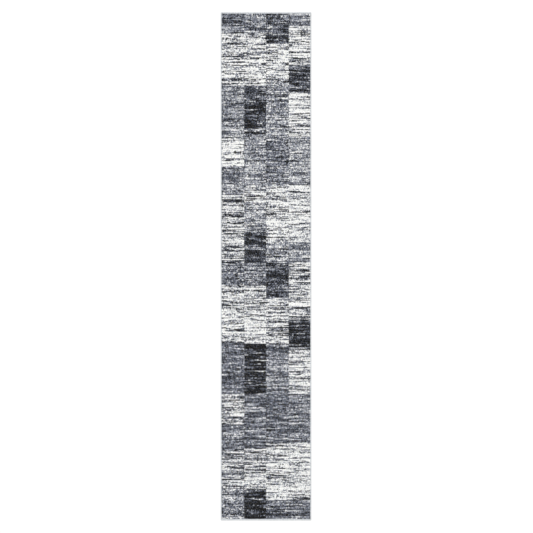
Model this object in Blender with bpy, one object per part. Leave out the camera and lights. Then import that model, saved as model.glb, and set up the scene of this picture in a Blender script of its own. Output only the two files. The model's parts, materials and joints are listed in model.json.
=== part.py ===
"""A cut-pile runner rug lying flat: colour blocks of pile on a woven ground cloth, with overlocked edges.

Metres, +Z up, the long side along Y. The origin is the middle of the underside, which rests on the floor.
"""

import math

import bmesh
import bpy

# Overall size.
RUG_WIDTH = 0.800
RUG_LENGTH = 4.500

# Layers, from the floor up.
COAT_THICK = 0.0009
GROUND_THICK = 0.0018
PILE_TALL = 0.0072

# The overlocked edge: yarn wrapped over the edge of the ground cloth.
SIDE_STITCH_REACH = 0.008
END_STITCH_REACH = 0.014
EDGE_WRAP = 0.0037
EDGE_RISE = 0.0030
EDGE_ROUND = 0.0020

# Between any two pieces that touch on the real rug.
FIT_GAP = 0.0003

# The woven design. Each column is a row of colour blocks, listed from the far end (+Y) to the near end.
# The figures are the drawing's millimetres. A weaver stretches the drawing to the size being woven, so each
# column fills the pile's length and the columns together fill its width.
COLUMN_WIDTHS = {"a": 199, "b": 194, "c": 201, "d": 190}
COLUMN_BLOCKS = {
    "a": [
        ("iron", 171),
        ("frost", 465),
        ("ash", 445),
        ("white", 270),
        ("ash", 255),
        ("streaked", 600),
        ("slate", 195),
        ("frost", 515),
        ("iron", 450),
        ("streaked", 270),
        ("iron", 230),
        ("streaked", 335),
        ("ash", 271),
    ],
    "b": [
        ("slate", 171),
        ("frost", 465),
        ("charcoal", 445),
        ("silver", 445),
        ("frost", 145),
        ("silver", 260),
        ("charcoal", 275),
        ("ash", 200),
        ("white", 515),
        ("black", 445),
        ("iron", 480),
        ("streaked", 370),
        ("black", 256),
    ],
    "c": [
        ("charcoal", 266),
        ("frost", 360),
        ("silver", 475),
        ("slate", 430),
        ("white", 495),
        ("silver", 180),
        ("charcoal", 320),
        ("streaked", 405),
        ("slate", 435),
        ("iron", 440),
        ("white", 500),
        ("iron", 166),
    ],
    "d": [
        ("slate", 106),
        ("frost", 345),
        ("charcoal", 240),
        ("white", 395),
        ("silver", 435),
        ("white", 505),
        ("ash", 185),
        ("frost", 505),
        ("black", 260),
        ("white", 390),
        ("slate", 435),
        ("white", 505),
        ("iron", 166),
    ],
}

# Mean colour of each yarn mix and of the other materials, as sRGB hex, with a roughness.
FINISHES = {
    "pile_white": ("C1C2C5", 0.95),
    "pile_frost": ("B2B4B8", 0.95),
    "pile_streaked": ("A4A6AB", 0.95),
    "pile_silver": ("95989E", 0.95),
    "pile_ash": ("8A8D93", 0.95),
    "pile_slate": ("808389", 0.95),
    "pile_iron": ("73767D", 0.95),
    "pile_charcoal": ("5A5C63", 0.95),
    "pile_black": ("46484D", 0.95),
    "ground_weave": ("A99C84", 0.90),
    "latex_coat": ("CFC9BA", 0.70),
    "edge_yarn": ("C9CCCF", 0.85),
}

# The heights at which one layer ends and the next begins.
ground_bottom = COAT_THICK + FIT_GAP
ground_top = ground_bottom + GROUND_THICK
pile_bottom = ground_top + FIT_GAP
edge_height = pile_bottom + EDGE_RISE

# The cloth reaches into the overlocked edge, and the pile and the coat stop where the stitches begin.
cloth_width = RUG_WIDTH - 2 * (EDGE_WRAP + FIT_GAP)
cloth_length = RUG_LENGTH - 2 * (EDGE_WRAP + FIT_GAP)
field_width = RUG_WIDTH - 2 * (SIDE_STITCH_REACH + FIT_GAP)
field_length = RUG_LENGTH - 2 * (END_STITCH_REACH + FIT_GAP)


def clear_scene():
    for old in list(bpy.data.objects):
        bpy.data.objects.remove(old, do_unlink=True)


def new_collection(name):
    collection = bpy.data.collections.new(name)
    bpy.context.scene.collection.children.link(collection)
    return collection


def linear(hex_colour):
    """An sRGB hex colour as the linear values that a material holds."""
    shares = [int(hex_colour[i : i + 2], 16) / 255 for i in (0, 2, 4)]
    return [s / 12.92 if s <= 0.04045 else ((s + 0.055) / 1.055) ** 2.4 for s in shares]


def make_finish(name):
    hex_colour, roughness = FINISHES[name]
    finish = bpy.data.materials.new(name)
    finish.use_nodes = True
    shader = finish.node_tree.nodes["Principled BSDF"]
    shader.inputs["Base Color"].default_value = (*linear(hex_colour), 1)
    shader.inputs["Roughness"].default_value = roughness
    shader.inputs["Metallic"].default_value = 0
    finish.diffuse_color = (*linear(hex_colour), 1)
    return finish


def add_box(name, collection, size, centre):
    """A closed box whose mesh holds its size, placed by its location."""
    mesh = bpy.data.meshes.new(name)
    shape = bmesh.new()
    bmesh.ops.create_cube(shape, size=1)
    bmesh.ops.scale(shape, vec=size, verts=shape.verts)
    shape.to_mesh(mesh)
    shape.free()
    box = bpy.data.objects.new(name, mesh)
    box.location = centre
    collection.objects.link(box)
    return box


def round_outer_edges(box, outer_x, radius):
    """Rounds the two long edges of a box's face at outer_x."""
    shape = bmesh.new()
    shape.from_mesh(box.data)
    edges = [
        edge
        for edge in shape.edges
        if all(abs(vert.co.x - outer_x) < FIT_GAP for vert in edge.verts)
        and abs(edge.verts[0].co.y - edge.verts[1].co.y) > FIT_GAP
    ]
    bmesh.ops.bevel(shape, geom=edges, offset=radius, segments=4, profile=0.5, affect="EDGES")
    shape.to_mesh(box.data)
    shape.free()


def add_overlocked_edge(name, parts, cutters, run, slot_run, reach, outer, turn):
    """Yarn wrapped over the cloth's edge: a rounded strip with a slot that holds the cloth.

    The strip is drawn on the +X side of the rug, run metres long and reach metres deep, with its outer face
    outer metres from the middle, and then turned about the rug's middle.
    """
    strip = add_box(name, parts, (reach, run, edge_height), (0, 0, 0))
    round_outer_edges(strip, reach / 2, min(EDGE_ROUND, 0.3 * edge_height))
    strip.rotation_euler = (0, 0, turn)
    strip.location = (
        math.cos(turn) * (outer - reach / 2),
        math.sin(turn) * (outer - reach / 2),
        edge_height / 2,
    )

    # The slot is open towards the middle of the rug, and it leaves FIT_GAP around the cloth.
    slot_height = GROUND_THICK + 2 * FIT_GAP
    cutter = add_box(f"{name}_slot", cutters, (reach, slot_run, slot_height), (0, 0, 0))
    cutter.parent = strip
    cutter.location = (-EDGE_WRAP, 0, COAT_THICK + slot_height / 2 - edge_height / 2)
    cutter.hide_render = True
    cutter.display_type = "WIRE"

    cut = strip.modifiers.new("slot", "BOOLEAN")
    cut.operation = "DIFFERENCE"
    cut.object = cutter
    return strip


def add_pile(collection):
    """One solid for each colour block, in columns across the rug and from the far end to the near end."""
    across = field_width / sum(COLUMN_WIDTHS.values())
    left = -field_width / 2
    for column, blocks in COLUMN_BLOCKS.items():
        width = COLUMN_WIDTHS[column] * across
        along = field_length / sum(length for tone, length in blocks)
        far = field_length / 2
        for number, (tone, drawn_length) in enumerate(blocks, start=1):
            length = drawn_length * along
            block = add_box(
                f"pile_{column}{number:02d}_{tone}",
                collection,
                (width - FIT_GAP, length - FIT_GAP, PILE_TALL),
                (left + width / 2, far - length / 2, pile_bottom + PILE_TALL / 2),
            )
            block.data.materials.append(finishes[f"pile_{tone}"])
            far -= length
        left += width


def add_cloths(collection):
    """The woven ground cloth, and the thin latex coat under it that locks the tufts."""
    ground = add_box(
        "ground_cloth",
        collection,
        (cloth_width, cloth_length, GROUND_THICK),
        (0, 0, ground_bottom + GROUND_THICK / 2),
    )
    ground.data.materials.append(finishes["ground_weave"])
    coat = add_box(
        "latex_back_coat",
        collection,
        (field_width, field_length, COAT_THICK),
        (0, 0, COAT_THICK / 2),
    )
    coat.data.materials.append(finishes["latex_coat"])


def add_edges(collection, cutters):
    """Overlocked yarn on all four sides. The ends run the full width, and the sides stop at the ends."""
    side_run = RUG_LENGTH - 2 * (END_STITCH_REACH + FIT_GAP)
    side_slot = RUG_LENGTH
    end_slot = cloth_width + 2 * FIT_GAP
    half_width = RUG_WIDTH / 2
    half_length = RUG_LENGTH / 2
    quarter = math.pi / 2
    for name, run, slot_run, reach, outer, turn in (
        ("side_overlock_right", side_run, side_slot, SIDE_STITCH_REACH, half_width, 0),
        ("side_overlock_left", side_run, side_slot, SIDE_STITCH_REACH, half_width, 2 * quarter),
        ("end_overlock_far", RUG_WIDTH, end_slot, END_STITCH_REACH, half_length, quarter),
        ("end_overlock_near", RUG_WIDTH, end_slot, END_STITCH_REACH, half_length, -quarter),
    ):
        strip = add_overlocked_edge(name, collection, cutters, run, slot_run, reach, outer, turn)
        strip.data.materials.append(finishes["edge_yarn"])


clear_scene()
finishes = {name: make_finish(name) for name in FINISHES}
rug = new_collection("runner_rug")
cutters = new_collection("cutters")
add_pile(rug)
add_cloths(rug)
add_edges(rug, cutters)
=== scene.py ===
"""The finished look of a cut-pile runner rug: tufted colour blocks, ground cloth and overlocked edges."""

import json
import math

import bmesh
import bpy
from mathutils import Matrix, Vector


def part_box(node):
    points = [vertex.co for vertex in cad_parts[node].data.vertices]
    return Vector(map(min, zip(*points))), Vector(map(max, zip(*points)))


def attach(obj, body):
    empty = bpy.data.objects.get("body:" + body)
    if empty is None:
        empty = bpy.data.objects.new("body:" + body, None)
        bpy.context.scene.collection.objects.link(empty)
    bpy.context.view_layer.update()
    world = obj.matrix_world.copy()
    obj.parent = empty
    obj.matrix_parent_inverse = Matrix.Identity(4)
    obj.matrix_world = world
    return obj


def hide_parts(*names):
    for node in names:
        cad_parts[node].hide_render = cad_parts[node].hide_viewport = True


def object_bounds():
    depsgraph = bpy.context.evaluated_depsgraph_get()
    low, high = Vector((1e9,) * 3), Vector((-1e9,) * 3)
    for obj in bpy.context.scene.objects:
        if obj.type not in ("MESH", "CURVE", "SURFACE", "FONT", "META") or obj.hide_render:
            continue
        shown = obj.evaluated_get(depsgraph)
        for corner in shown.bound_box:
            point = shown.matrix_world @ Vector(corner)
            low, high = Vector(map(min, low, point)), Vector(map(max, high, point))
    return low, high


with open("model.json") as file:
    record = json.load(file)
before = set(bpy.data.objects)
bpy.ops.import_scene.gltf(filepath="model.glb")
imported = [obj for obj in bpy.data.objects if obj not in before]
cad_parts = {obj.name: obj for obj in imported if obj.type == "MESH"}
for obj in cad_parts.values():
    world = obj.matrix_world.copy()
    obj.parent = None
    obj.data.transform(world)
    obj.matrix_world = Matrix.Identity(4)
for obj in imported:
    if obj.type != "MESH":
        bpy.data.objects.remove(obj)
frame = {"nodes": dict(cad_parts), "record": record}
cad_low, cad_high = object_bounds()
slot_of = {part["node"]: part["material_slot"] for part in frame["record"]["subparts"]}

MM = 0.001

# Pile. One tuft here stands for a clump of about six yarn ends, so that a tuft is coarse enough to show.
TUFT_PITCH = 5.0 * MM
TUFT_RADIUS = 3.5 * MM
TUFT_SIDES = 6
TUFT_RIM = (0.88, 0.82, 0.87, 0.92, 0.84, 0.90)
TUFT_RIM_UP = 0.85
TUFT_LEAN = math.radians(11)
TUFT_STRAY = 0.8 * MM
TUFT_SHORTEST = 0.86
TUFT_FULLNESS = (0.88, 1.12)
ROOT_DEPTH = 1.0 * MM
FIBRE_SIZE = 0.8 * MM
FIBRE_STRETCH = 6

# A tuft's place on the map, as shares of its cell: its rim's radius, and the points of the star round it.
CELL_RIM = 0.27
CELL_ROOT = 0.47

# The drawing of the streaks, in rows, tufts and lines of the loom, and in metres along the weft.
LINE_ROWS = 1.5
WANDER_ROWS = 3.5
DASH_TUFTS = 1.5
DASH_SHIFT = 9.0
LONG_STREAK = 0.260
SHORT_STREAK = 0.070
STREAK_LINES = 0.70

# How far apart the patterns of two blocks are, and how near in Y the ends of blocks in one pattern lie.
PATTERN_STEP = 1.37
SAME_LINE = 20 * MM

# From one block's random seed to the next. A block uses three.
SEED_STEP = 10

# Overlock yarn wrapped round the cloth's edge, drawn about twice as coarse as the real thread.
STITCH_PITCH = 3.2 * MM
STITCH_WIDTH = 3.7 * MM
STITCH_THICK = 1.6 * MM
STITCH_NOSE = 2.8 * MM
STITCH_LEAN = math.radians(5)
STITCH_ROLL = math.radians(4)
STITCH_ROLL_ROOM = 0.15 * MM
UNDER_PILE = 2.2 * MM
CORNER_RADIUS = 5 * MM
CORNER_STEPS = 8
PAST_BOX = 0.2 * MM
TWISTS_ALONG = 8
TWISTS_ACROSS = 2

# Shares of the stitch's height where it leaves the pile and where it is fullest, of its reach that the turn
# on the underside has, of its thickness there, and of its width on the hidden side.
STITCH_START = 0.62
STITCH_FULLEST = 0.95
STITCH_UNDER = 0.78
STITCH_THINNER = 0.55
STITCH_INSIDE = 0.8

# Past this much of a turn towards the rug's end, a stitch has the end's full reach.
END_TURN = 0.2

# The weave: jute weft across the rug and warp along it, drawn about twice as coarse as the real cloth.
RIB_PITCH = 6.0 * MM
RIB_DEPTH = 0.5 * MM
RIB_STEPS = 6
WARP_PITCH = 9.0 * MM

# Studio: a large floor just under the rug, an even white sky, a broad soft key and a long lens overhead.
FLOOR_HALF = 30
FLOOR_DROP = 0.5 * MM
FLOOR_SHADE = (0.78, 0.78, 0.78, 1)
SKY_STRENGTH = 1.05
KEY_STRENGTH = 1.2
KEY_SPREAD = math.radians(35)
KEY_TURN = (math.radians(-32), math.radians(-22), 0)
LENS = 100
SENSOR = 36
VIEW_WIDTH = 4.722
VIEW_CENTRE = (0.0045, -0.0022)

# The kinds of node that come up most.
MATH = "ShaderNodeMath"
VECTOR_MATH = "ShaderNodeVectorMath"
SPLIT = "ShaderNodeSeparateXYZ"
JOIN = "ShaderNodeCombineXYZ"
RANGE = "ShaderNodeMapRange"
NOISE = "ShaderNodeTexNoise"
CHANCE = "ShaderNodeTexWhiteNoise"
RAMP = "ShaderNodeValToRGB"
BUMP = "ShaderNodeBump"
ATTRIBUTE = "ShaderNodeAttribute"
SHADER = "ShaderNodeBsdfPrincipled"
STORE = "GeometryNodeStoreNamedAttribute"
STORED = "GeometryNodeInputNamedAttribute"
RANDOM = "FunctionNodeRandomValue"


def linear(hex_colour):
    """An sRGB hex colour as linear values."""
    shares = [int(hex_colour[i : i + 2], 16) / 255 for i in (0, 2, 4)]
    return tuple(s / 12.92 if s <= 0.04045 else ((s + 0.055) / 1.055) ** 2.4 for s in shares) + (1,)


def add(tree, kind, *inputs, stops=(), **settings):
    """Adds a node with its settings and links.

    Inputs come in the order of the sockets, or as one dict by socket name or number. Each is a plain value,
    a socket to link from, or a node, which stands for its first output in use. Stops are the positions and
    hex colours of a colour ramp.
    """
    node = tree.nodes.new(kind)
    for name, value in settings.items():
        setattr(node, name, value)
    named = inputs[0] if inputs and isinstance(inputs[0], dict) else dict(enumerate(inputs))
    for name, value in named.items():
        if isinstance(value, bpy.types.Node):
            value = next(output for output in value.outputs if output.enabled)
        if isinstance(value, bpy.types.NodeSocket):
            tree.links.new(value, node.inputs[name])
        else:
            node.inputs[name].default_value = value
    for i, (position, colour) in enumerate(stops):
        marks = node.color_ramp.elements
        mark = marks[i] if i < len(marks) else marks.new(position)
        mark.position = position
        mark.color = linear(colour)
    return node


# ---------------------------------------------------------------- materials


def new_material(name):
    """A material with an empty node tree."""
    material = bpy.data.materials.new(name)
    material.use_nodes = True
    material.node_tree.nodes.clear()
    return material, material.node_tree


# Heat-set polypropylene yarn, spun in six shades from near black to white, as lightness steps.
YARNS = [
    (0.00, "0D0F13"),
    (0.20, "31353D"),
    (0.37, "616673"),
    (0.53, "8E939F"),
    (0.70, "C3C6CD"),
    (0.84, "FAFAF8"),
]

# For each yarn mix: its mean lightness, and how strongly streaks and flecks of other shades cross it.
# A program fitted the lightness and the streaks, by comparing renders with the real rug's shades, and they
# were rounded afterwards. The flecks were set one by one.
MIXES = {
    "white": (0.85, 2.10, 2.20),
    "frost": (0.74, 2.45, 2.10),
    "streaked": (0.61, 2.20, 2.05),
    "silver": (0.55, 0.95, 1.55),
    "ash": (0.51, 0.85, 1.55),
    "slate": (0.49, 0.90, 1.35),
    "iron": (0.44, 0.85, 1.25),
    "charcoal": (0.25, 1.30, 1.45),
    "black": (0.07, 1.55, 1.45),
}


def streaks(tree, place, long, tall, seed, detail=1.0):
    """Soft noise about zero, drawn out along the weft: long and tall are the size of one streak.

    Each step of one in the place's Z is another pattern.
    """
    scaled = add(tree, VECTOR_MATH, place, (1 / long, 1 / tall, 1), operation="MULTIPLY")
    moved = add(tree, VECTOR_MATH, scaled, (seed * 7.31, seed * 3.17, seed * 5.23), operation="ADD")
    noise = add(tree, NOISE, {"Vector": moved, "Scale": 1.0, "Detail": detail, "Roughness": 0.5})
    return add(tree, MATH, noise, 0.5, operation="SUBTRACT")


def pile_material(mix):
    """Cut pile of heat-set polypropylene yarn, tufted with one shade to a tuft.

    The spun, cut fibre gives a matte face with a faint soft sheen. Shade is painted into the colour, darker
    down at the roots and between the fibres, where shade falls. Short broken lines of other shades run with
    the weft. The fibres are drawn about ten times too thick, so they show.
    """
    lightness, streak, fleck = MIXES[mix]
    material, tree = new_material(f"heatset_polypropylene_pile_{mix}")
    root = add(tree, ATTRIBUTE, attribute_name="tuft_root").outputs["Vector"]
    knot = add(tree, ATTRIBUTE, attribute_name="tuft_knot").outputs["Vector"]
    up = add(tree, ATTRIBUTE, attribute_name="tuft_up").outputs["Fac"]
    spot = add(tree, SPLIT, root).outputs
    tuft = add(tree, SPLIT, knot).outputs

    # The drawing is made of lines one or two rows tall, which wander up and down as they cross the rug.
    wander = streaks(tree, root, 0.090, 0.050, 1)
    height = add(tree, MATH, wander, WANDER_ROWS, tuft["Y"], operation="MULTIPLY_ADD")
    line = add(tree, MATH, add(tree, MATH, height, LINE_ROWS, operation="DIVIDE"), operation="FLOOR")
    on_line = add(tree, JOIN, spot["X"], line, spot["Z"])
    shade = lightness
    for place, long, tall, seed, strength in (
        (on_line, LONG_STREAK, STREAK_LINES, 2, 1.80 * streak),
        (on_line, SHORT_STREAK, STREAK_LINES, 3, 0.70 * streak),
        (root, 0.220, 0.160, 5, 0.06 * streak),
    ):
        drift = streaks(tree, place, long, tall, seed)
        shade = add(tree, MATH, drift, strength, shade, operation="MULTIPLY_ADD")

    # Along a line the shade changes at every dash, and a little from tuft to tuft.
    start = add(tree, CHANCE, add(tree, JOIN, 0.0, line, tuft["Z"]))
    along = add(tree, MATH, start, DASH_SHIFT, tuft["X"], operation="MULTIPLY_ADD")
    dash = add(tree, MATH, add(tree, MATH, along, DASH_TUFTS, operation="DIVIDE"), operation="FLOOR")
    of_dash = add(tree, CHANCE, add(tree, JOIN, dash, line, tuft["Z"]))
    of_tuft = add(tree, CHANCE, knot)
    for chance, strength in ((of_dash, 0.50 * fleck), (of_tuft, 0.20)):
        stray = add(tree, MATH, chance, 0.5, operation="SUBTRACT")
        shade = add(tree, MATH, stray, strength, shade, operation="MULTIPLY_ADD")
    yarn = add(tree, RAMP, shade, stops=YARNS)
    yarn.color_ramp.interpolation = "CONSTANT"

    # Each tuft takes the dye a little differently. Shade is also painted into the colour: darker towards
    # the root and between the fibres, where shade falls.
    place = add(tree, "ShaderNodeTexCoord").outputs["Object"]
    upright = add(tree, VECTOR_MATH, place, (1, 1, 1 / FIBRE_STRETCH), operation="MULTIPLY")
    fibres = add(tree, NOISE, {"Vector": upright, "Scale": 1 / FIBRE_SIZE, "Detail": 2.0})
    dye = add(tree, RANGE, {"Value": of_tuft, "To Min": 0.90, "To Max": 1.06})
    painted_root_shade = add(tree, RANGE, {"Value": up, "To Min": 0.55, "To Max": 1.0})
    fibre_shade_span = {"Value": fibres, "From Min": 0.30, "From Max": 0.52, "To Min": 0.80, "To Max": 1.04}
    painted_fibre_shade = add(tree, RANGE, fibre_shade_span)
    share = add(tree, MATH, add(tree, MATH, dye, painted_root_shade, operation="MULTIPLY"), painted_fibre_shade, operation="MULTIPLY")
    colour = add(tree, VECTOR_MATH, {0: yarn, "Scale": share}, operation="SCALE")

    # Fibre ends stand up unevenly over the tuft, and some tufts are fuzzier than others.
    fuzz = add(tree, BUMP, {"Height": fibres, "Distance": 0.8 * MM})
    dullness = add(tree, RANGE, {"Value": of_tuft, "To Min": 0.80, "To Max": 1.0})
    surface = {
        "Base Color": colour,
        "Roughness": dullness,
        "Normal": fuzz,
        "Specular IOR Level": 0.15,
        "Sheen Weight": 0.06,
        "Sheen Roughness": 0.6,
    }
    add(tree, "ShaderNodeOutputMaterial", add(tree, SHADER, surface))
    return material


def edge_material():
    """Two-ply polypropylene overlock yarn, light grey and wound on by machine.

    It is matte, each turn is a shade apart from the next, and the plies' twist shows as slanting ridges.
    Shade is painted into the colour along the grooves between the plies.
    """
    material, tree = new_material("two_ply_overlock_yarn")
    turn = add(tree, ATTRIBUTE, attribute_name="stitch_place").outputs["Vector"]
    along = add(tree, SPLIT, add(tree, ATTRIBUTE, attribute_name="yarn_cell").outputs["Vector"]).outputs
    across = add(tree, MATH, along["X"], math.tau * TWISTS_ACROSS, operation="MULTIPLY")
    twist = add(tree, MATH, along["Y"], math.tau * TWISTS_ALONG, across, operation="MULTIPLY_ADD")
    ply = add(tree, MATH, twist, operation="SINE")
    chance = add(tree, CHANCE, turn)
    # Painted shade: the colour darkens along the grooves between the plies, on top of each turn's own
    # shade.
    shade = add(tree, MATH, ply, 0.30, chance, operation="MULTIPLY_ADD")
    colour = add(tree, RAMP, shade, stops=[(0.0, "BBBFC3"), (1.0, "DCDFE1")])
    ridge = add(tree, BUMP, {"Height": ply, "Distance": 0.22 * MM})
    dullness = add(tree, RANGE, {"Value": ply, "From Min": -1.0, "To Min": 0.94, "To Max": 0.78})
    surface = {"Base Color": colour, "Roughness": dullness, "Normal": ridge, "Specular IOR Level": 0.2}
    add(tree, "ShaderNodeOutputMaterial", add(tree, SHADER, surface))
    return material


def cloth_material():
    """Plain-woven jute and cotton ground cloth, left undyed.

    It is dull brown, and the jute's thick and thin slubs run with the weft.
    """
    material, tree = new_material("jute_ground_weave")
    place = add(tree, "ShaderNodeTexCoord").outputs["Object"]
    slub = add(tree, MATH, streaks(tree, place, 0.017, 0.0011, 1, 3.0), 0.5, operation="ADD")
    colour = add(tree, RAMP, slub, stops=[(0.2, "7D7260"), (0.8, "BDB29C")])
    thick = add(tree, BUMP, {"Height": slub, "Distance": 0.6 * MM})
    dullness = add(tree, RANGE, {"Value": slub, "To Min": 1.0, "To Max": 0.85})
    surface = {"Base Color": colour, "Roughness": dullness, "Normal": thick, "Specular IOR Level": 0.2}
    add(tree, "ShaderNodeOutputMaterial", add(tree, SHADER, surface))
    return material


def coat_material():
    """Latex size brushed over the jute weft.

    It is a thin dull skin, a little shinier where it lies thick, and the weave and the pile yarn's dark
    streaks still show through it. The weave is drawn about twice as coarse as the real one, so it shows.
    """
    material, tree = new_material("latex_on_jute")
    place = add(tree, "ShaderNodeTexCoord").outputs["Object"]
    flat = add(tree, VECTOR_MATH, place, (1, 1, 0), operation="MULTIPLY")
    row = add(tree, VECTOR_MATH, flat, (MM, RIB_PITCH, 1.0), operation="SNAP")
    crossing = streaks(tree, row, WARP_PITCH, 0.9 * RIB_PITCH, 6)
    slub = add(tree, MATH, streaks(tree, row, 0.120, 0.9 * RIB_PITCH, 1), 0.5, operation="ADD")
    weft = add(tree, MATH, crossing, 1.0, slub, operation="MULTIPLY_ADD")
    jute = add(tree, RAMP, weft, stops=[(0.15, "93826A"), (0.85, "D9CFBA")])
    dark = add(tree, MATH, streaks(tree, row, 0.240, 0.9 * RIB_PITCH, 2), 2.5, operation="MULTIPLY")
    shown = add(tree, MATH, crossing, 0.6, dark, operation="MULTIPLY_ADD")
    kept = add(tree, "ShaderNodeClamp", shown, 0.0, 0.55)
    colour = add(tree, "ShaderNodeMix", {0: kept, 6: jute, 7: linear("6F7074")}, data_type="RGBA")
    skin = add(tree, BUMP, {"Height": weft, "Distance": 0.8 * MM})
    dullness = add(tree, RANGE, {"Value": weft, "To Min": 0.62, "To Max": 0.85})
    surface = {"Base Color": colour, "Roughness": dullness, "Normal": skin, "Specular IOR Level": 0.35}
    add(tree, "ShaderNodeOutputMaterial", add(tree, SHADER, surface))
    return material


def floor_material():
    """White painted board: plain and fully matte, so that only the rug has anything to show."""
    material, tree = new_material("white_floor")
    surface = {"Base Color": FLOOR_SHADE, "Roughness": 1.0}
    add(tree, "ShaderNodeOutputMaterial", add(tree, SHADER, surface))
    return material


# ---------------------------------------------------------------- geometry


def new_object(name, mesh):
    made = bpy.data.objects.new(name, mesh)
    bpy.context.scene.collection.objects.link(made)
    return made


def new_tree(name, sizes):
    """A geometry tree that makes its own mesh, with one named input for each size: {name: socket type}."""
    tree = bpy.data.node_groups.new(name, "GeometryNodeTree")
    tree.interface.new_socket("Geometry", in_out="INPUT", socket_type="NodeSocketGeometry")
    for size, kind in sizes.items():
        tree.interface.new_socket(size, in_out="INPUT", socket_type=kind)
    tree.interface.new_socket("Geometry", in_out="OUTPUT", socket_type="NodeSocketGeometry")
    return tree, add(tree, "NodeGroupInput").outputs


def end_tree(tree, instances, cell_corner, whole, material):
    """Realises the instances, fits each one's cell into the finished map, and gives them their material."""
    solid = add(tree, "GeometryNodeRealizeInstances", instances)
    corner = add(tree, STORED, cell_corner, data_type="FLOAT_VECTOR")
    inside = add(tree, STORED, "cell", data_type="FLOAT_VECTOR")
    summed = add(tree, VECTOR_MATH, corner, inside, operation="ADD")
    fitted = add(tree, VECTOR_MATH, summed, whole, operation="DIVIDE")
    mapped = add(
        tree,
        STORE,
        {"Geometry": solid, "Name": "OFBake", "Value": fitted},
        data_type="FLOAT2",
        domain="CORNER",
    )
    finished = add(tree, "GeometryNodeSetMaterial", {"Geometry": mapped, "Material": material})
    add(tree, "NodeGroupOutput", finished)


def grow(name, tree, material, **values):
    """Runs a geometry tree and keeps its result as a plain mesh object with one map."""
    host = new_object(f"{name}_host", bpy.data.meshes.new(f"{name}_host"))
    modifier = host.modifiers.new("grow", "NODES")
    modifier.node_group = tree
    sockets = {s.name: s.identifier for s in tree.interface.items_tree if s.in_out == "INPUT"}
    for label, value in values.items():
        modifier[sockets[label.replace("_", " ").capitalize()]] = value
    modifier[sockets["Material"]] = material
    evaluated = host.evaluated_get(bpy.context.evaluated_depsgraph_get())
    mesh = bpy.data.meshes.new_from_object(evaluated)
    mesh.name = name
    bpy.data.objects.remove(host)
    if "cell" in mesh.uv_layers:
        mesh.uv_layers.remove(mesh.uv_layers["cell"])
    mesh.uv_layers.active = mesh.uv_layers["OFBake"]
    return new_object(name, mesh)


def tuft_template():
    """One tuft, 1 unit tall: a closed clump that flares from its root to a domed, uneven tip.

    Its map lays the tip in the middle of a unit cell, with the sides as the points of a star round it.
    """
    shape = bmesh.new()
    # How far up the tuft each point is. The pile's colour uses it for its painted shade towards the root.
    up = shape.verts.layers.float.new("tuft_up")
    cell = shape.loops.layers.uv.new("cell")

    def corner(share, radius):
        angle = math.tau * share / TUFT_SIDES
        return radius * math.cos(angle), radius * math.sin(angle)

    root = shape.verts.new((0, 0, 0))
    tip = shape.verts.new((0, 0, 1))
    rim = [shape.verts.new((*corner(i, TUFT_RADIUS), TUFT_RIM[i])) for i in range(TUFT_SIDES)]
    tip[up] = 1
    for vert in rim:
        vert[up] = TUFT_RIM_UP

    def face(verts, spots):
        made = shape.faces.new(verts)
        made.smooth = True
        for loop, spot in zip(made.loops, spots, strict=True):
            loop[cell].uv = (0.5 + spot[0], 0.5 + spot[1])

    for i in range(TUFT_SIDES):
        j = (i + 1) % TUFT_SIDES
        near = corner(i, CELL_RIM)
        far = corner(i + 1, CELL_RIM)
        face([tip, rim[i], rim[j]], [(0, 0), near, far])
        face([root, rim[j], rim[i]], [corner(i + 0.5, CELL_ROOT), far, near])
    mesh = bpy.data.meshes.new("tuft")
    shape.to_mesh(mesh)
    shape.free()
    return new_object("tuft", mesh)


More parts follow.
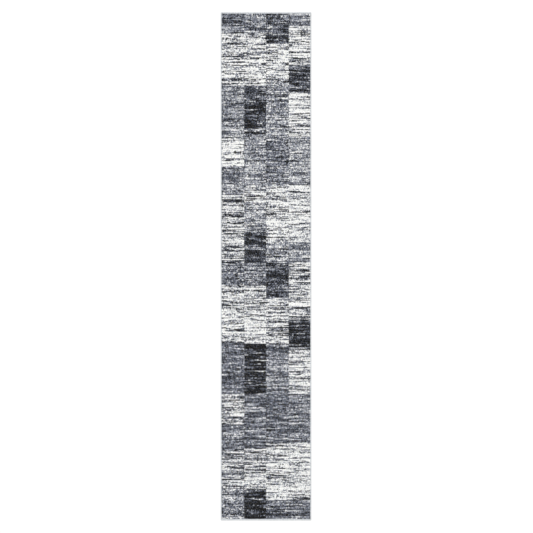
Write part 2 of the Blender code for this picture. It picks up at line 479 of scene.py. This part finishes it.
def tuft_tree(template):
    """Fills a box with rows of leaning tufts of uneven height, and maps each one to its own cell."""
    tree, size = new_tree(
        "pile_tufts",
        {
            "Low": "NodeSocketVector",
            "High": "NodeSocketVector",
            "Pitch": "NodeSocketFloat",
            "Pattern": "NodeSocketFloat",
            "Seed": "NodeSocketInt",
            "Material": "NodeSocketMaterial",
        },
    )
    span = add(tree, VECTOR_MATH, size["High"], size["Low"], operation="SUBTRACT")
    extent = add(tree, SPLIT, span).outputs
    counts = []
    steps = []
    for side in ("X", "Y"):
        fitted = add(tree, MATH, extent[side], size["Pitch"], operation="DIVIDE")
        counts.append(add(tree, MATH, fitted, operation="ROUND"))
        steps.append(add(tree, MATH, extent[side], counts[-1], operation="DIVIDE"))
    grid = add(
        tree,
        "GeometryNodeMeshGrid",
        {
            "Size X": add(tree, MATH, extent["X"], steps[0], operation="SUBTRACT"),
            "Size Y": add(tree, MATH, extent["Y"], steps[1], operation="SUBTRACT"),
            "Vertices X": counts[0],
            "Vertices Y": counts[1],
        },
    )

    # Which column and row of the block each tuft is in.
    position = add(tree, "GeometryNodeInputPosition")
    spot = add(tree, SPLIT, position).outputs
    place = []
    for side, step in zip(("X", "Y"), steps, strict=True):
        from_edge = add(tree, MATH, extent[side], 0.5, spot[side], operation="MULTIPLY_ADD")
        passed = add(tree, MATH, from_edge, step, operation="DIVIDE")
        place.append(add(tree, MATH, passed, operation="FLOOR"))
    knot = add(tree, JOIN, *place, size["Seed"])

    # Where its cell lies on the map: the block's rows run down one strip, and on down the next.
    slender = add(tree, MATH, counts[1], counts[0], operation="DIVIDE")
    fit = add(tree, MATH, add(tree, MATH, slender, operation="SQRT"), operation="ROUND")
    strips = add(tree, MATH, fit, 1.0, operation="MAXIMUM")
    rows = add(tree, MATH, add(tree, MATH, counts[1], strips, operation="DIVIDE"), operation="CEIL")
    strip = add(tree, MATH, add(tree, MATH, place[1], rows, operation="DIVIDE"), operation="FLOOR")
    column = add(tree, MATH, strip, counts[0], place[0], operation="MULTIPLY_ADD")
    skipped = add(tree, MATH, strip, rows, operation="MULTIPLY")
    row = add(tree, MATH, place[1], skipped, operation="SUBTRACT")
    kept = grid
    for name, value in (("cell_corner", add(tree, JOIN, column, row)), ("tuft_knot", knot)):
        kept = add(
            tree,
            STORE,
            {"Geometry": kept, "Name": name, "Value": value},
            data_type="FLOAT_VECTOR",
            domain="POINT",
        )

    # The grid moves to the foot of the block, and each tuft strays a little from its place in it.
    summed = add(tree, VECTOR_MATH, size["High"], size["Low"], operation="ADD")
    middle = add(tree, SPLIT, add(tree, VECTOR_MATH, {0: summed, "Scale": 0.5}, operation="SCALE")).outputs
    foot = add(tree, SPLIT, size["Low"]).outputs["Z"]
    stray = add(
        tree,
        RANDOM,
        {0: (-TUFT_STRAY, -TUFT_STRAY, 0), 1: (TUFT_STRAY, TUFT_STRAY, 0), "Seed": size["Seed"]},
        data_type="FLOAT_VECTOR",
    )
    centre = add(tree, JOIN, middle["X"], middle["Y"], foot)
    offset = add(tree, VECTOR_MATH, centre, stray, operation="ADD")
    placed = add(tree, "GeometryNodeSetPosition", {"Geometry": kept, "Offset": offset})
    root = add(tree, SPLIT, add(tree, "GeometryNodeInputPosition")).outputs
    rooted = add(
        tree,
        STORE,
        {
            "Geometry": placed,
            "Name": "tuft_root",
            "Value": add(tree, JOIN, root["X"], root["Y"], size["Pattern"]),
        },
        data_type="FLOAT_VECTOR",
        domain="POINT",
    )

    turn = add(
        tree,
        RANDOM,
        {
            0: (-TUFT_LEAN, -TUFT_LEAN, -math.pi),
            1: (TUFT_LEAN, TUFT_LEAN, math.pi),
            "Seed": add(tree, MATH, size["Seed"], 1.0, operation="ADD"),
        },
        data_type="FLOAT_VECTOR",
    )
    fullness = add(
        tree,
        RANDOM,
        {
            0: (TUFT_FULLNESS[0], TUFT_FULLNESS[0], TUFT_SHORTEST),
            1: (TUFT_FULLNESS[1], TUFT_FULLNESS[1], 1.0),
            "Seed": add(tree, MATH, size["Seed"], 2.0, operation="ADD"),
        },
        data_type="FLOAT_VECTOR",
    )
    tall = add(tree, JOIN, 1.0, 1.0, extent["Z"])
    tufts = add(
        tree,
        "GeometryNodeInstanceOnPoints",
        {
            "Points": rooted,
            "Instance": add(tree, "GeometryNodeObjectInfo", {"Object": template}).outputs["Geometry"],
            "Rotation": turn,
            "Scale": add(tree, VECTOR_MATH, fullness, tall, operation="MULTIPLY"),
        },
    )
    whole = add(tree, JOIN, add(tree, MATH, counts[0], strips, operation="MULTIPLY"), rows, 1.0)
    end_tree(tree, tufts, "cell_corner", whole, size["Material"])
    return tree


def stitch_template(reach, height):
    """One turn of overlock yarn: a flattened tube from the pile, over the cloth's edge, to the underside.

    It lies across the edge, with its outermost point at x = 0 and the middle of the rug towards -X.
    """
    middle = height / 2
    tall = middle - STITCH_ROLL_ROOM
    outline = [
        Vector((-reach, 0, height * STITCH_START)),
        Vector((-(reach + STITCH_NOSE) / 2, 0, height * STITCH_FULLEST)),
    ]
    for angle in (90, 45, 0, -45, -90):
        turn = math.radians(angle)
        x = STITCH_NOSE * (math.cos(turn) - 1)
        outline.append(Vector((x, 0, middle + tall * math.sin(turn))))
    outline.append(Vector((-reach * STITCH_UNDER, 0, STITCH_ROLL_ROOM)))
    last = len(outline) - 1

    shape = bmesh.new()
    cell = shape.loops.layers.uv.new("cell")
    yarn = shape.loops.layers.float_vector.new("yarn_cell")
    rings = []
    for i, point in enumerate(outline):
        along = (outline[min(i + 1, last)] - outline[max(i - 1, 0)]).normalized()
        outward = Vector((-along.z, 0, along.x))
        thick = STITCH_THICK if i < last - 1 else STITCH_THICK * STITCH_THINNER
        half = Vector((0, STITCH_WIDTH / 2, 0))
        inner = point - outward * thick
        inside = half * STITCH_INSIDE
        ring = (point + half, point - half, inner - inside, inner + inside)
        rings.append([shape.verts.new(v) for v in ring])

    def face(verts, spots):
        made = shape.faces.new(verts)
        made.smooth = True
        for loop, spot in zip(made.loops, spots, strict=True):
            loop[cell].uv = spot
            loop[yarn] = (*spot, 0)

    # The yarn's outer face has most of the cell's width, and its hidden faces share the rest.
    seams = (0.04, 0.56, 0.68, 0.80, 0.92)
    for i in range(last):
        start = 0.05 + 0.9 * i / last
        end = 0.05 + 0.9 * (i + 1) / last
        for side in range(4):
            other = (side + 1) % 4
            left = seams[side]
            right = seams[side + 1]
            face(
                [rings[i][side], rings[i][other], rings[i + 1][other], rings[i + 1][side]],
                [(left, start), (right, start), (right, end), (left, end)],
            )
    square = [(0.93, 0.1), (0.97, 0.1), (0.97, 0.3), (0.93, 0.3)]
    face(rings[0][::-1], square)
    face(rings[last], [(u, v + 0.4) for u, v in square])
    bmesh.ops.recalc_face_normals(shape, faces=shape.faces)
    mesh = bpy.data.meshes.new("stitch")
    shape.to_mesh(mesh)
    shape.free()
    return new_object("stitch", mesh)


def stitch_tree():
    """Lays stitches right round the rug's outline, and keeps the ones in one edge's own box.

    Each stitch leans a little, laps over the one before it like a shingle, and has its own cell on the map.
    Past a corner, stitches shorten to Side Reach.
    """
    tree, size = new_tree(
        "overlock_stitches",
        {
            "Width": "NodeSocketFloat",
            "Length": "NodeSocketFloat",
            "Corner": "NodeSocketFloat",
            "Pitch": "NodeSocketFloat",
            "Low": "NodeSocketVector",
            "High": "NodeSocketVector",
            "Reach": "NodeSocketFloat",
            "Side reach": "NodeSocketFloat",
            "Stitch": "NodeSocketObject",
            "Seed": "NodeSocketInt",
            "Material": "NodeSocketMaterial",
        },
    )
    outline = add(
        tree, "GeometryNodeCurvePrimitiveQuadrilateral", {"Width": size["Width"], "Height": size["Length"]}
    )
    rounded = add(
        tree,
        "GeometryNodeFilletCurve",
        {"Curve": outline, "Radius": size["Corner"], "Count": CORNER_STEPS},
        mode="POLY",
    )
    points = add(
        tree, "GeometryNodeCurveToPoints", {"Curve": rounded, "Length": size["Pitch"]}, mode="LENGTH"
    )
    place = add(tree, "GeometryNodeInputPosition")

    # Outward is square to the outline, on the side away from the middle of the rug.
    square = add(tree, VECTOR_MATH, points.outputs["Tangent"], (0, 0, 1), operation="CROSS_PRODUCT")
    facing = add(tree, VECTOR_MATH, place, square, operation="DOT_PRODUCT")
    away = add(tree, MATH, facing, operation="SIGN")
    outward = add(tree, VECTOR_MATH, {0: square, "Scale": away}, operation="SCALE")
    kept = add(
        tree,
        STORE,
        {"Geometry": points, "Name": "outward", "Value": outward},
        data_type="FLOAT_VECTOR",
        domain="POINT",
    )

    spot = add(tree, SPLIT, place).outputs
    low = add(tree, SPLIT, size["Low"]).outputs
    high = add(tree, SPLIT, size["High"]).outputs
    outside = 0.0
    for side in ("X", "Y"):
        for above, below in ((low[side], spot[side]), (spot[side], high[side])):
            past = add(tree, MATH, above, below, operation="SUBTRACT")
            beyond = add(tree, MATH, past, PAST_BOX, operation="GREATER_THAN")
            outside = add(tree, MATH, outside, beyond, operation="MAXIMUM")
    kept = add(
        tree, "GeometryNodeDeleteGeometry", {"Geometry": kept, "Selection": outside}, domain="POINT"
    )

    # Each stitch's place in the square of cells on the map.
    count = add(
        tree, "GeometryNodeAttributeDomainSize", {"Geometry": kept}, component="POINTCLOUD"
    ).outputs["Point Count"]
    index = add(tree, "GeometryNodeInputIndex")
    across = add(tree, MATH, add(tree, MATH, count, operation="SQRT"), operation="CEIL")
    row = add(tree, MATH, add(tree, MATH, index, across, operation="DIVIDE"), operation="FLOOR")
    skipped = add(tree, MATH, row, across, operation="MULTIPLY")
    column = add(tree, MATH, index, skipped, operation="SUBTRACT")
    kept = add(
        tree,
        STORE,
        {"Geometry": kept, "Name": "stitch_place", "Value": add(tree, JOIN, column, row)},
        data_type="FLOAT_VECTOR",
        domain="POINT",
    )

    stored = add(tree, STORED, "outward", data_type="FLOAT_VECTOR")
    out = add(tree, SPLIT, stored).outputs
    lean = add(
        tree,
        RANDOM,
        {2: STITCH_LEAN * 0.85, 3: STITCH_LEAN * 1.15, "Seed": size["Seed"]},
        data_type="FLOAT",
    )
    turn = add(tree, MATH, add(tree, MATH, out["Y"], out["X"], operation="ARCTAN2"), lean, operation="ADD")
    endward = add(tree, MATH, out["Y"], operation="ABSOLUTE")
    to_end = add(tree, MATH, endward, END_TURN, operation="GREATER_THAN")
    longer = add(tree, MATH, size["Reach"], size["Side reach"], operation="SUBTRACT")
    reach = add(tree, MATH, to_end, longer, size["Side reach"], operation="MULTIPLY_ADD")
    stretch = add(tree, MATH, reach, size["Reach"], operation="DIVIDE")
    stitches = add(
        tree,
        "GeometryNodeInstanceOnPoints",
        {
            "Points": kept,
            "Instance": add(tree, "GeometryNodeObjectInfo", {"Object": size["Stitch"]}).outputs["Geometry"],
            "Rotation": add(tree, JOIN, STITCH_ROLL, 0.0, turn),
            "Scale": add(tree, JOIN, stretch, 1.0, 1.0),
        },
    )
    end_tree(tree, stitches, "stitch_place", add(tree, JOIN, across, across, 1.0), size["Material"])
    return tree

def ribbed_sheet(name, low, high, material, rib_side):
    """A thin closed sheet with the weft's ribs on one side: +1 for the top, -1 for the underside."""
    rows = round((high.y - low.y) / RIB_PITCH * RIB_STEPS)
    level = high.z if rib_side > 0 else low.z
    shape = bmesh.new()
    lines = []
    for row in range(rows + 1):
        y = low.y + (high.y - low.y) * row / rows
        dip = RIB_DEPTH / 2 * (1 - abs(math.cos(math.pi * row / RIB_STEPS)))
        z = level - rib_side * dip
        lines.append([shape.verts.new((x, y, z)) for x in (low.x, high.x)])
    for a, b in zip(lines, lines[1:], strict=False):
        made = shape.faces.new((a[0], a[1], b[1], b[0]) if rib_side > 0 else (a[0], b[0], b[1], a[1]))
        made.smooth = True
    mesh = bpy.data.meshes.new(name)
    shape.to_mesh(mesh)
    shape.free()
    sheet = new_object(name, mesh)
    mesh.materials.append(material)
    solid = sheet.modifiers.new("thickness", "SOLIDIFY")
    solid.thickness = high.z - low.z - RIB_DEPTH
    solid.offset = -1
    return sheet


# ---------------------------------------------------------------- the rug


def finish_piece(piece, node):
    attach(piece, "root")
    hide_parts(node)


def make_pile():
    template = tuft_template()
    tree = tuft_tree(template)
    materials = {mix: pile_material(mix) for mix in MIXES}
    cloth_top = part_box("ground_cloth")[1].z
    blocks = []
    patterns = {}
    for seed, node in enumerate(sorted(n for n in frame["nodes"] if n.startswith("pile_")), start=1):
        low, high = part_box(node)
        low.z = cloth_top - ROOT_DEPTH
        mix = slot_of[node].removeprefix("pile_")
        # Neighbours of one mix that start and end on the same lines are woven in one pattern.
        same = (mix, round(low.y / SAME_LINE), round(high.y / SAME_LINE))
        pattern = patterns.setdefault(same, len(patterns) * PATTERN_STEP)
        block = grow(
            node.replace("pile_", "tufts_"),
            tree,
            materials[mix],
            low=tuple(low),
            high=tuple(high),
            pitch=TUFT_PITCH,
            pattern=pattern,
            seed=seed * SEED_STEP,
        )
        finish_piece(block, node)
        blocks.append(block)
    bpy.data.objects.remove(template)
    return blocks


def make_edges():
    material = edge_material()
    tree = stitch_tree()
    rug = cad_high - cad_low
    side_low, side_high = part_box("side_overlock_left")
    side_reach = side_high.x - side_low.x + UNDER_PILE
    edges = []
    for seed, node in enumerate((n for n in frame["nodes"] if "overlock" in n), start=1):
        low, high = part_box(node)
        reach = min(high.x - low.x, high.y - low.y) + UNDER_PILE
        template = stitch_template(reach, high.z)
        edge = grow(
            node.replace("overlock", "stitches"),
            tree,
            material,
            width=rug.x,
            length=rug.y,
            corner=CORNER_RADIUS,
            pitch=STITCH_PITCH,
            low=tuple(low),
            high=tuple(high),
            reach=reach,
            side_reach=side_reach,
            stitch=template,
            seed=seed,
        )
        bpy.data.objects.remove(template)
        finish_piece(edge, node)
        edges.append(edge)
    return edges


def make_cloths(edges):
    low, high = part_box("latex_back_coat")
    coat = ribbed_sheet("back_coat", low, high, coat_material(), -1)
    finish_piece(coat, "latex_back_coat")
    low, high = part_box("ground_cloth")
    ground = ribbed_sheet("woven_ground", low, high, cloth_material(), 1)
    finish_piece(ground, "ground_cloth")
    return coat, ground


def make_studio():
    """A plain white floor, soft light from all round with a little more from one side, and the camera."""
    scene = bpy.context.scene
    mesh = bpy.data.meshes.new("floor")
    shape = bmesh.new()
    bmesh.ops.create_grid(shape, x_segments=1, y_segments=1, size=FLOOR_HALF)
    bmesh.ops.translate(shape, vec=(0, 0, -FLOOR_DROP), verts=shape.verts)
    shape.to_mesh(mesh)
    shape.free()
    floor = new_object("floor", mesh)
    mesh.materials.append(floor_material())

    world = bpy.data.worlds.new("studio")
    scene.world = world
    world.use_nodes = True
    world.node_tree.nodes["Background"].inputs["Color"].default_value = (1, 1, 1, 1)
    world.node_tree.nodes["Background"].inputs["Strength"].default_value = SKY_STRENGTH

    sun = bpy.data.lights.new("soft_key", "SUN")
    sun.energy = KEY_STRENGTH
    sun.angle = KEY_SPREAD
    key = bpy.data.objects.new("soft_key", sun)
    key.rotation_euler = KEY_TURN
    scene.collection.objects.link(key)

    # Straight above the middle of the rug, through a long lens.
    camera_data = bpy.data.cameras.new("camera")
    camera_data.lens = LENS
    camera_data.sensor_width = SENSOR
    camera = bpy.data.objects.new("camera", camera_data)
    camera.location = (*VIEW_CENTRE, VIEW_WIDTH * LENS / SENSOR)
    scene.collection.objects.link(camera)
    scene.camera = camera
    scene.view_settings.view_transform = "Standard"


make_pile()
make_cloths(make_edges())
make_studio()
